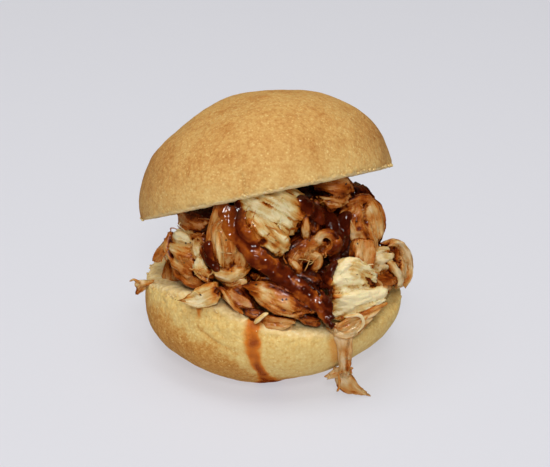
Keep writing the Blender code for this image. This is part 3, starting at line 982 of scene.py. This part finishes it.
# Stains that the stirring left, and three spots of painted shade among them: where, how wide in
# millimetres, and how much more (or less) sauce or shade.
STAINS_AND_SHADE_SPOTS = [
    (Vector(place), size, amount)
    for place, size, amount in (
        ((-2.5, -31, 52), 1.3, 0.45),
        # Painted shade under the left edge of the top half.
        ((-19.5, -20, 55), 3.4, 0.5),
        ((1, -31, 50), 1.5, 0.3),
        ((-1, -30, 62), 1.5, 0.1),
        ((6.5, -30, 50), 2.2, 0.3),
        ((-22, -33.5, 35.5), 0.9, 0.5),
        ((-16, -34, 37), 2, 0.3),
        ((25, -31, 43), 3.0, 0.22),
        ((28, -29, 39.5), 2.4, 0.3),
        ((19, -36, 35.5), 1.4, 0.2),
        ((-7, -34, 37), 3.5, 0.2),
        ((9, -38, 33), 3.5, 0.2),
        ((-27, -22, 44), 3, 0.14),
        ((-20, -25, 46), 1.5, 0.25),
        ((-28, -30, 33), 1.8, 0.3),
        # The next two are painted shade in the hole of the right fold.
        ((26, -20.5, 51), 1.0, 0.55),
        ((27.4, -19.5, 53.6), 0.9, 0.55),
        ((28.7, -19, 49), 1.6, 0.25),
        ((16.3, -27, 49.7), 1.0, 0.4),
        ((9.6, -29.5, 48.2), 1.0, 0.35),
    )
]
for made, looks in heap.values():
    for number, vertex in enumerate(made.data.vertices):
        point, normal = vertex.co / MM, vertex.normal
        turn = normal.to_track_quat("Z", "Y")
        start = vertex.co + normal * 0.15 * MM
        rays = LOOKS if point.y < -6 else LOOKS[::2]  # Half as many do for the back.
        blocked = 0
        for look in rays:
            hit, _, _, distance = heap_tree.ray_cast(start, turn @ look, POOL_REACH * MM)
            if hit is not None:
                blocked += 1 - 0.5 * distance / (POOL_REACH * MM)
        looks["stain_and_shade"][number] += POOL_SAUCE_AND_SHADE * ease(blocked / len(rays), 0.1, 0.85)
        # The streams, the stains and the spots of painted shade lie only on the front.
        if point.y > -16:
            continue
        _, index, away = stream_places.find(point)
        half = stream_halves[index]
        if away < half + 5:
            ragged = away + 1.2 * noise.noise(point / 2.5)
            soaked = 1 - ease(ragged, half, half + min(4.0, 1.3 * half))
            looks["stain_and_shade"][number] += STREAM_STAIN * soaked
        for place, size, amount in STAINS_AND_SHADE_SPOTS:
            away = (point - place).length
            if away < 2 * size:
                ragged = away + 0.6 * noise.noise(point / 1.3)
                looks["stain_and_shade"][number] += amount * (1 - ease(ragged, size * 0.4, size * 1.4))
    write_looks(made.data, looks)

# Cooked chicken meat, moist, with barbecue sauce soaked in: clean breast is cream white with a silky
# grain, thigh is tan, and sauce takes both through orange and red brown to nearly black. The folds and
# hollows are darker still, from pooled sauce and painted shade.


def chicken_material():
    made, tree = new_material("pulled chicken in barbecue sauce")
    grain = add(tree, "Attribute", out="Vector", attribute_name="grain")
    stain_and_shade = add(tree, "Attribute", out="Fac", attribute_name="stain_and_shade")
    pale = add(tree, "Attribute", out="Fac", attribute_name="pale")
    along = add(tree, "Mapping", {"Vector": grain, "Scale": (0.11, 1.0, 1.0)})
    fibre = add(tree, "TexNoise", {"Vector": along, "Scale": 1.1, "Detail": 3.0})
    thread = add(tree, "TexNoise", {"Vector": along, "Scale": 2.6, "Detail": 2.0})
    soaked = add(tree, "Mapping", {"Vector": grain, "Scale": (0.45, 1.0, 1.0)})
    blotch = add(tree, "TexNoise", {"Vector": soaked, "Scale": 0.42, "Detail": 4.0})
    uneven = add(tree, "MapRange", {"Value": pale, "To Min": 0.72, "To Max": 0.42})
    blotch = add(tree, "Math", {0: blotch, 1: 0.5}, operation="SUBTRACT")
    level = add(tree, "Math", {0: blotch, 1: uneven, 2: stain_and_shade}, operation="MULTIPLY_ADD")
    level = add(tree, "Math", {0: fibre, 1: 0.66, 2: level}, operation="MULTIPLY_ADD")
    level = add(tree, "Math", {0: thread, 1: 0.4, 2: level}, operation="MULTIPLY_ADD")
    level = add(tree, "Math", {0: level, 1: 0.5}, operation="SUBTRACT")
    white_stops = (
        (0.0, "#EFDDAC"),
        (0.14, "#E0C384"),
        (0.27, "#D4A458"),
        (0.4, "#CA8032"),
        (0.54, "#B25C14"),
        (0.7, "#762A06"),
        (0.92, "#360C02"),
    )
    dark_stops = (
        (0.0, "#D4A97A"),
        (0.18, "#C69058"),
        (0.34, "#B87234"),
        (0.5, "#9E4E12"),
        (0.68, "#6A2806"),
        (0.92, "#300A02"),
    )
    white_meat = add(tree, "ValToRGB", {"Fac": level}, stops=white_stops)
    dark_meat = add(tree, "ValToRGB", {"Fac": level}, stops=dark_stops)
    colour = add(tree, "Mix", {"Factor": pale, 6: dark_meat, 7: white_meat}, out=2, data_type="RGBA")
    relief = add(tree, "Math", {0: thread, 1: 0.5, 2: fibre}, operation="MULTIPLY_ADD")
    wetness = {"Value": level, "From Min": 0.1, "From Max": 0.65, "To Min": 0.42, "To Max": 0.16}
    shader = {
        "Base Color": colour,
        "Roughness": add(tree, "MapRange", wetness),
        "Normal": add(tree, "Bump", {"Height": relief, "Strength": 0.7, "Distance": 0.45 * MM}),
        "IOR": 1.4,
        "Specular IOR Level": 0.4,
        "Subsurface Weight": 0.2,
        "Subsurface Radius": (1.0, 0.5, 0.25),
        "Subsurface Scale": 0.0014,
        "Coat Weight": 0.3,
        "Coat Roughness": 0.1,
    }
    add(tree, "OutputMaterial", {"Surface": add(tree, "BsdfPrincipled", shader)})
    return made


chicken_look = chicken_material()
for made, _ in heap.values():
    surface(made, chicken_look)
    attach(made, "root")
    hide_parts("chicken_heap")

# ---------------------------------------------------------------------------------------------------
# Hanging shred. One torn strip of chicken slipped off the heap at the front: it hangs over the rim of
# the roll and its frayed foot lies on the table.

SHRED_STRIPS = (
    ("shred_neck", ((19.5, -38.5, 27.5), (21.5, -38.5, 21.5), (22.5, -36.5, 13), (22, -33, 6)), 3.4, 2.4, 5,
     dict(sauce=0.05, pale=0.3, ends=(1.2, 0.9))),
    ("shred_top", ((18.5, -38.2, 26.5), (22, -38.3, 25.2), (26.5, -37, 26.5)), 3.4, 2.6, 6,
     dict(sauce=0.06, pale=0.45, tear=2.4)),
    ("shred_top_right", ((24.5, -37.6, 27), (29.5, -34.5, 28.3)), 2.4, 2.2, 5,
     dict(sauce=0.16, pale=0.45, tear=2.4)),
    ("shred_side", ((23, -37, 27), (23, -38, 21), (23.3, -36.5, 12)), 1.7, 1.8, 3, dict(sauce=0.2, pale=0.3)),
    ("shred_foot", ((20, -34.5, 9.5), (22.5, -33.5, 6), (25.5, -32.8, 3.2), (29.5, -32, 0.8)), 5, 3, 6,
     dict(sauce=0.14, pale=0.4, ends=(1, 0.2), tear=2.0)),
    ("shred_lobe", ((23.5, -34, 10), (20, -34.2, 9.6), (17, -34.2, 8.4)), 3, 2.2, 4,
     dict(sauce=0.16, pale=0.4, ends=(1, 0.7), tear=2.0)),
    ("shred_loop", ((21, -38.2, 30.5), (25.5, -37.8, 31), (27, -37.6, 28), (24.5, -38, 24.5)), 0.9, 1.0, 2,
     dict(sauce=0.06, pale=0.7, tear=0.2)),
    ("shred_string", ((19.8, -36, 10.5), (20.5, -35.6, 6), (19.8, -35.2, 3.5)), 0.9, 0.9, 2,
     dict(sauce=0.14, pale=0.7, tear=0.2)),
)
shred_strips = [torn_piece(*place, **extra) for *place, extra in SHRED_STRIPS]
SHRED_VOXEL = 0.24
shred, shred_looks = joined("hanging_shred", [fused("shred", shred_strips, 1, SHRED_VOXEL)])
ON_TABLE = 0.1 * MM
move_points(shred.data, [(*vertex.co.xy, max(vertex.co.z, ON_TABLE)) for vertex in shred.data.vertices])
write_looks(shred.data, shred_looks)
surface(shred, chicken_look)
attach(shred, "root")
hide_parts("chicken_shred")

# ---------------------------------------------------------------------------------------------------
# Barbecue sauce. Thick, glossy, red-brown tomato and molasses sauce, poured over the heap from a
# spoon: it runs down between the pieces in four streams and gathers where they meet.

SAUCE_VOXEL = 0.3
CAMERA_RISE = math.radians(24)
LOOKING = Vector((0, math.cos(CAMERA_RISE), -math.sin(CAMERA_RISE)))
VIEW_UP = Vector((0, -LOOKING.z, LOOKING.y))
SHEET_STEP = 0.5
BEFORE_STREAM, SHEET_REACH = 14, 24  # where a look at the heap starts before a stream, and how far it goes
DROP = 0.62  # radius of the drops that a stream is laid with
STREAM_FULLNESS = (0.7, 1.8, 1.4, 1.0)
THINNER_ABOVE = (0.55, 0, 0, 0)  # how much of its fullness each stream lacks high up


def stream_line(stream):
    """Close places along a stream, and half its width at each."""
    places, _, _ = curve_through([Vector(place[:3]) for place in stream])
    line = []
    for here, there in zip(places, places[1:]):
        line += [here, (here + there) / 2]
    line.append(places[-1])
    halves = []
    for number in range(len(line)):
        part = number / (len(line) - 1) * (len(stream) - 1)
        at = min(int(part), len(stream) - 2)
        halves.append(stream[at][3] + (stream[at + 1][3] - stream[at][3]) * (part - at))
    return line, halves


def sheet_on_heap(line, halves):
    """Spots of a grid across the view where a stream lies on the heap.

    Each has a start before the heap, how far the heap is from there, how near the stream's edge it is,
    from 0 to 1, and how high the stream is there.
    """
    flat = [Vector((place.x, place.dot(VIEW_UP))) for place in line]
    low = Vector((min(place.x for place in flat) - 4, min(place.y for place in flat) - 4))
    high = Vector((max(place.x for place in flat) + 4, max(place.y for place in flat) + 4))
    sheet = {}
    for across in range(int((high.x - low.x) / SHEET_STEP)):
        for up in range(int((high.y - low.y) / SHEET_STEP)):
            spot = low + Vector((across, up)) * SHEET_STEP
            away, number = min(((spot - place).length, number) for number, place in enumerate(flat))
            half = halves[number] * (1 + 0.3 * noise.noise(Vector((spot.x / 3, spot.y / 3, 4))))
            if away > half:
                continue
            depth = line[number].dot(LOOKING) - BEFORE_STREAM
            start = Vector((spot.x, 0, 0)) + VIEW_UP * spot.y + LOOKING * depth
            hit, _, _, distance = heap_tree.ray_cast(start * MM, LOOKING, SHEET_REACH * MM)
            if hit is not None:
                sheet[across, up] = (start, distance / MM, away / half, line[number].z)
    return sheet


sauce_bm = bmesh.new()
for stream, fullness, thinner in zip(SAUCE_STREAMS, STREAM_FULLNESS, THINNER_ABOVE):
    sheet = sheet_on_heap(*stream_line(stream))
    for (across, up), (start, _, edge, height) in sheet.items():
        # The sauce follows the nearer half of the meat round about, so that it bridges the gaps.
        base = start.dot(LOOKING)
        around = (sheet.get((across + i, up + j)) for i in range(-3, 4) for j in range(-3, 4))
        near = sorted(found[0].dot(LOOKING) + found[1] - base for found in around if found)
        near = near[: len(near) // 2 + 1]
        lumpy = 0.9 + 0.6 * noise.noise(start / 2.4) * (1 - 0.7 * ease(height, 44, 54))
        swell = 0.9 * fullness * math.sqrt(max(0.0, 1 - edge * edge)) * lumpy
        swell *= 1 - thinner * ease(height, 46, 56)
        centre = start + LOOKING * (sum(near) / len(near) - swell + 0.35)
        made = bmesh.ops.create_icosphere(sauce_bm, subdivisions=1, radius=DROP)["verts"]
        bmesh.ops.translate(sauce_bm, vec=centre, verts=made)
sauce = remeshed("barbecue_sauce", sauce_bm, SAUCE_VOXEL, smooth_times=6)
sauce_places = []
for vertex in sauce.data.vertices:
    point = vertex.co / MM
    lumpy = 0.42 * noise.noise(point / 2.3) + 0.2 * noise.noise(point)
    lumpy *= 1 - 0.5 * ease(point.z, 46, 58)
    sauce_places.append(vertex.co + vertex.normal * lumpy * MM)
move_points(sauce.data, sauce_places)
THICKEST, DARKEST = 6 * MM, 1.5 * MM  # how deep the sauce is looked into, and where it is darkest
thickness = []
for vertex in sauce.data.vertices:
    _, _, _, distance = heap_tree.ray_cast(vertex.co, -vertex.normal, THICKEST)
    thickness.append(clamp((distance or THICKEST) / DARKEST))
write_attribute(sauce.data, "thickness", thickness)

# Cooked sauce: syrupy, wet and dark red-brown where it is thick, amber where it thins out at the edges.
sauce_look, sauce_tree = new_material("glossy barbecue sauce")
depth = add(sauce_tree, "Attribute", out="Fac", attribute_name="thickness")
sauce_stops = ((0.0, "#B4661C"), (0.3, "#90420F"), (0.6, "#602008"), (1.0, "#3E0F03"))
sauce_colour = add(sauce_tree, "ValToRGB", {"Fac": depth}, stops=sauce_stops)
sauce_place = add(sauce_tree, "TexCoord", out="Object")
ripple = add(sauce_tree, "TexNoise", {"Vector": sauce_place, "Scale": 600.0, "Detail": 2.0})
sauce_bump = add(sauce_tree, "Bump", {"Height": ripple, "Strength": 0.35, "Distance": 0.3 * MM})
wet = {"Base Color": sauce_colour, "Roughness": 0.13, "IOR": 1.45, "Normal": sauce_bump}
add(sauce_tree, "OutputMaterial", {"Surface": add(sauce_tree, "BsdfPrincipled", wet)})
surface(sauce, sauce_look)
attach(sauce, "root")
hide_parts("chicken_heap")

# ---------------------------------------------------------------------------------------------------
# Torn threads. Single muscle fibres and thin strings that the pulling left loose all over the meat.

rng = random.Random(11)


def on_heap(turn, rise):
    """Where a look at the heap from one side meets it, and the way out there. Angles are in degrees."""
    turn, rise = math.radians(turn), math.radians(rise)
    aim = Vector((math.cos(rise) * math.cos(turn), math.cos(rise) * math.sin(turn), math.sin(rise)))
    aim_at = Vector((rng.uniform(-9, 9), rng.uniform(-5, 5), rng.uniform(32, 48)))
    hit, normal, _, _ = heap_tree.ray_cast((aim_at + aim * 60) * MM, -aim, 90 * MM)
    return (hit / MM, normal) if hit is not None else (None, None)


def spots_on_meat(spread):
    """Endless spots between the two halves of the roll, most of them in front, and the way out at each."""
    while True:
        turn = rng.gauss(-92, spread) if rng.random() < 0.75 else rng.uniform(0, 360)
        place, normal = on_heap(turn, rng.uniform(-5, 40))
        if place is not None and HEEL_CUT.z <= place.z <= roof_height(place.x, place.y) - 1.5:
            yield place, normal


heap_points = KDTree(sum(len(made.data.vertices) for made, _ in heap.values()))
heap_looks = []
for made, looks in heap.values():
    for vertex, stain_and_shade, pale in zip(made.data.vertices, looks["stain_and_shade"], looks["pale"]):
        heap_points.insert(vertex.co / MM, len(heap_looks))
        heap_looks.append((stain_and_shade, pale))
heap_points.balance()
THREADS = 100
THREAD_KNOTS = 5
thread_curve = bpy.data.curves.new("torn_threads", "CURVE")
thread_curve.dimensions = "3D"
thread_curve.bevel_depth = 0.3 * MM
thread_curve.bevel_resolution = 1
thread_curve.use_fill_caps = True
thread_curve.resolution_u = 3
thread_tints = []
nearest_knot = KDTree(THREADS * THREAD_KNOTS)
for _, (place, normal) in zip(range(THREADS), spots_on_meat(42)):
    aim = Vector((rng.uniform(-1, 1), rng.uniform(-1, 1), rng.uniform(-1, 1)))
    aim = (aim - aim.dot(normal) * normal).normalized()
    bend = normal.cross(aim) * rng.uniform(-0.5, 0.5)
    length, lift = rng.uniform(1.5, 5), rng.choice((0, 0, 0, 0.6))
    spline = thread_curve.splines.new("BEZIER")
    spline.bezier_points.add(THREAD_KNOTS - 1)
    for step, knot in enumerate(spline.bezier_points):
        part = step / (THREAD_KNOTS - 1)
        at = place + (aim * part + bend * part * part) * length + normal * 1.6
        hit, _, _, _ = heap_tree.ray_cast(at * MM, -normal, 4 * MM)
        spot = hit / MM + normal * 0.1 if hit is not None else at - normal * 1.4
        knot.co = (spot + normal * lift * part * part) * MM
        knot.handle_left_type = knot.handle_right_type = "AUTO"
        knot.radius = rng.uniform(0.6, 1.1) * (1 - 0.5 * part)
        nearest_knot.insert(knot.co, len(thread_tints))
    stain_below, pale_below = heap_looks[heap_points.find(place)[1]]
    thread_tints.append((min(stain_below, 0.5) + rng.uniform(-0.1, 0.06), pale_below))
nearest_knot.balance()
curves = new_object("thread_curves", thread_curve)
bpy.context.view_layer.update()
seen = curves.evaluated_get(bpy.context.evaluated_depsgraph_get())
threads = new_object("torn_threads", bpy.data.meshes.new_from_object(seen))
bpy.data.objects.remove(curves)
tints = [thread_tints[nearest_knot.find(vertex.co)[1]] for vertex in threads.data.vertices]
thread_looks = {
    "grain": [vertex.co / MM for vertex in threads.data.vertices],
    "stain_and_shade": [stain_and_shade for stain_and_shade, _ in tints],
    "pale": [pale for _, pale in tints],
}
write_looks(threads.data, thread_looks)
surface(threads, chicken_look)
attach(threads, "root")
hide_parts("chicken_heap")

# ---------------------------------------------------------------------------------------------------
# Pepper and herb flecks. Coarse black pepper and dried herb from the sauce, stuck to the wet meat.

FLECKS = 80
fleck_bm = bmesh.new()
fleck_spots = spots_on_meat(40)
flecks = 0
while flecks < FLECKS:
    place, normal = next(fleck_spots)
    stain_below, _ = heap_looks[heap_points.find(place)[1]]
    if stain_below < 0.1:
        continue
    size = rng.uniform(0.14, 0.36)
    stretch = Matrix.Diagonal((size * rng.uniform(0.8, 1.6), size, size * 0.5, 1))
    turn = normal.to_track_quat("Z", "Y").to_matrix().to_4x4() @ Matrix.Rotation(rng.uniform(0, 6.3), 4, "Z")
    made = bmesh.ops.create_icosphere(fleck_bm, subdivisions=1, radius=1.0)["verts"]
    for vertex in made:
        vertex.co *= rng.uniform(0.75, 1.2)
    stuck_at = Matrix.Translation(place + normal * 0.1)
    bmesh.ops.transform(fleck_bm, matrix=stuck_at @ turn @ stretch, verts=made)
    flecks += 1
bmesh.ops.scale(fleck_bm, vec=(MM, MM, MM), verts=fleck_bm.verts)
pepper = drawn("pepper_flecks", fleck_bm)

# Cracked black pepper: hard, matt, brown black, wet only where the sauce has covered it.
pepper_look, pepper_tree = new_material("cracked black pepper")
pepper_place = add(pepper_tree, "TexCoord", out="Object")
pepper_tone = add(pepper_tree, "TexNoise", {"Vector": pepper_place, "Scale": 350.0, "Detail": 1.0})
pepper_stops = ((0.35, "#1C0E06"), (0.55, "#3A1E0C"), (0.7, "#3C3412"))
pepper_colour = add(pepper_tree, "ValToRGB", {"Fac": pepper_tone}, stops=pepper_stops)
pepper_shader = add(pepper_tree, "BsdfPrincipled", {"Base Color": pepper_colour, "Roughness": 0.4})
add(pepper_tree, "OutputMaterial", {"Surface": pepper_shader})
surface(pepper, pepper_look)
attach(pepper, "root")
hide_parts("chicken_heap")

# ---------------------------------------------------------------------------------------------------
# Bread crumbs. The knife pulled crumbs out of both cut edges: they cling to the rims in an uneven row.

CROWN_CRUMBS, HEEL_CRUMBS = 220, 130
crumb_bm = bmesh.new()
for bread, wanted in ((crown, CROWN_CRUMBS), (heel, HEEL_CRUMBS)):
    crusts = [0.0] * len(bread.data.vertices)
    bread.data.attributes["crust"].data.foreach_get("value", crusts)
    edge_points = []
    for vertex, crust in zip(bread.data.vertices, crusts):
        point = vertex.co / MM
        if 0.15 < crust < 0.92 and noise.noise(point / 7) + 0.4 * noise.noise(point / 2) > 0:
            edge_points.append(vertex)
    for _ in range(wanted):
        vertex = rng.choice(edge_points)
        size = 0.18 + 0.36 * rng.random() ** 2
        made = bmesh.ops.create_icosphere(crumb_bm, subdivisions=1, radius=size)["verts"]
        seed = Vector((rng.uniform(0, 99), 0, 0))
        for point in made:
            point.co *= 1 + 0.7 * noise.noise(point.co * 2.2 + seed)
        bmesh.ops.translate(crumb_bm, vec=vertex.co / MM + vertex.normal * size * 0.45, verts=made)
bmesh.ops.scale(crumb_bm, vec=(MM, MM, MM), verts=crumb_bm.verts)
crumbs = drawn("bread_crumbs", crumb_bm)
crumbs.data.shade_smooth()
write_attribute(crumbs.data, "crust", [0.5] * len(crumbs.data.vertices))
surface(crumbs, crown_crust)
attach(crumbs, "root")

# ---------------------------------------------------------------------------------------------------
# Table and lights: a plain pale surface, a broad soft lamp overhead, a smaller one over the camera and
# a faint one above, and a pale room all round.

floor_bm = bmesh.new()
bmesh.ops.create_grid(floor_bm, x_segments=1, y_segments=1, size=4.0)
floor = drawn("table_top", floor_bm)
floor_look, floor_tree = new_material("matt white board")
board = {
    "Base Color": linear("#88888C"),
    "Roughness": 0.8,
    "Emission Color": linear("#E6E6EC"),
    "Emission Strength": 0.6,
}
add(floor_tree, "OutputMaterial", {"Surface": add(floor_tree, "BsdfPrincipled", board)})
surface(floor, floor_look)
floor.visible_glossy = False

# A pale backdrop all round, which lights nothing: only a low camera sees it.
backdrop_bm = bmesh.new()
bmesh.ops.create_icosphere(backdrop_bm, subdivisions=4, radius=5.0)
backdrop = drawn("backdrop", backdrop_bm)
backdrop_look, backdrop_tree = new_material("pale paper backdrop")
paper = add(backdrop_tree, "Emission", {"Color": linear("#D0D0D4"), "Strength": 1.0})
add(backdrop_tree, "OutputMaterial", {"Surface": paper})
surface(backdrop, backdrop_look)
backdrop.visible_diffuse = False
backdrop.visible_glossy = False
backdrop.visible_shadow = False
backdrop.visible_transmission = False


def lamp(name, place, size, power, glints):
    """A round white lamp aimed at the middle of the slider. Only one with glints shows in what is glossy."""
    light = bpy.data.lights.new(name, "AREA")
    light.shape = "DISK"
    light.size = size
    light.energy = power
    made = new_object(name, light)
    made.location = place
    made.rotation_mode = "QUATERNION"
    made.rotation_quaternion = (LAMP_TARGET - Vector(place)).to_track_quat("-Z", "Y")
    made.visible_glossy = glints


LAMP_TARGET = Vector((0, 0, 0.04))
lamp("softbox_overhead", (-0.1, -0.15, 1.0), 0.95, 6.6, glints=False)
lamp("lamp_over_camera", (0.03, -0.95, 0.75), 0.22, 5.4, glints=True)
lamp("lamp_above", (0.12, -0.35, 0.95), 0.12, 0.5, glints=True)

world = bpy.data.worlds.new("pale room")
world.use_nodes = True
room = world.node_tree.nodes["Background"].inputs
room["Color"].default_value = linear("#E9E7E4")
room["Strength"].default_value = 0.26
world.cycles_visibility.glossy = False
bpy.context.scene.world = world
bpy.context.scene.view_settings.view_transform = "Standard"

lens = bpy.data.cameras.new("front_camera")
lens.lens = 100
lens.sensor_width = 36
lens.clip_start = 0.01
lens.dof.use_dof = False
camera = new_object("front_camera", lens)
CAMERA_TARGET = Vector((0.0008, 0, 0.0406))
CAMERA_DISTANCE = 0.48
camera.location = CAMERA_TARGET - LOOKING * CAMERA_DISTANCE
camera.rotation_mode = "QUATERNION"
camera.rotation_quaternion = LOOKING.to_track_quat("-Z", "Y")
bpy.context.scene.camera = camera
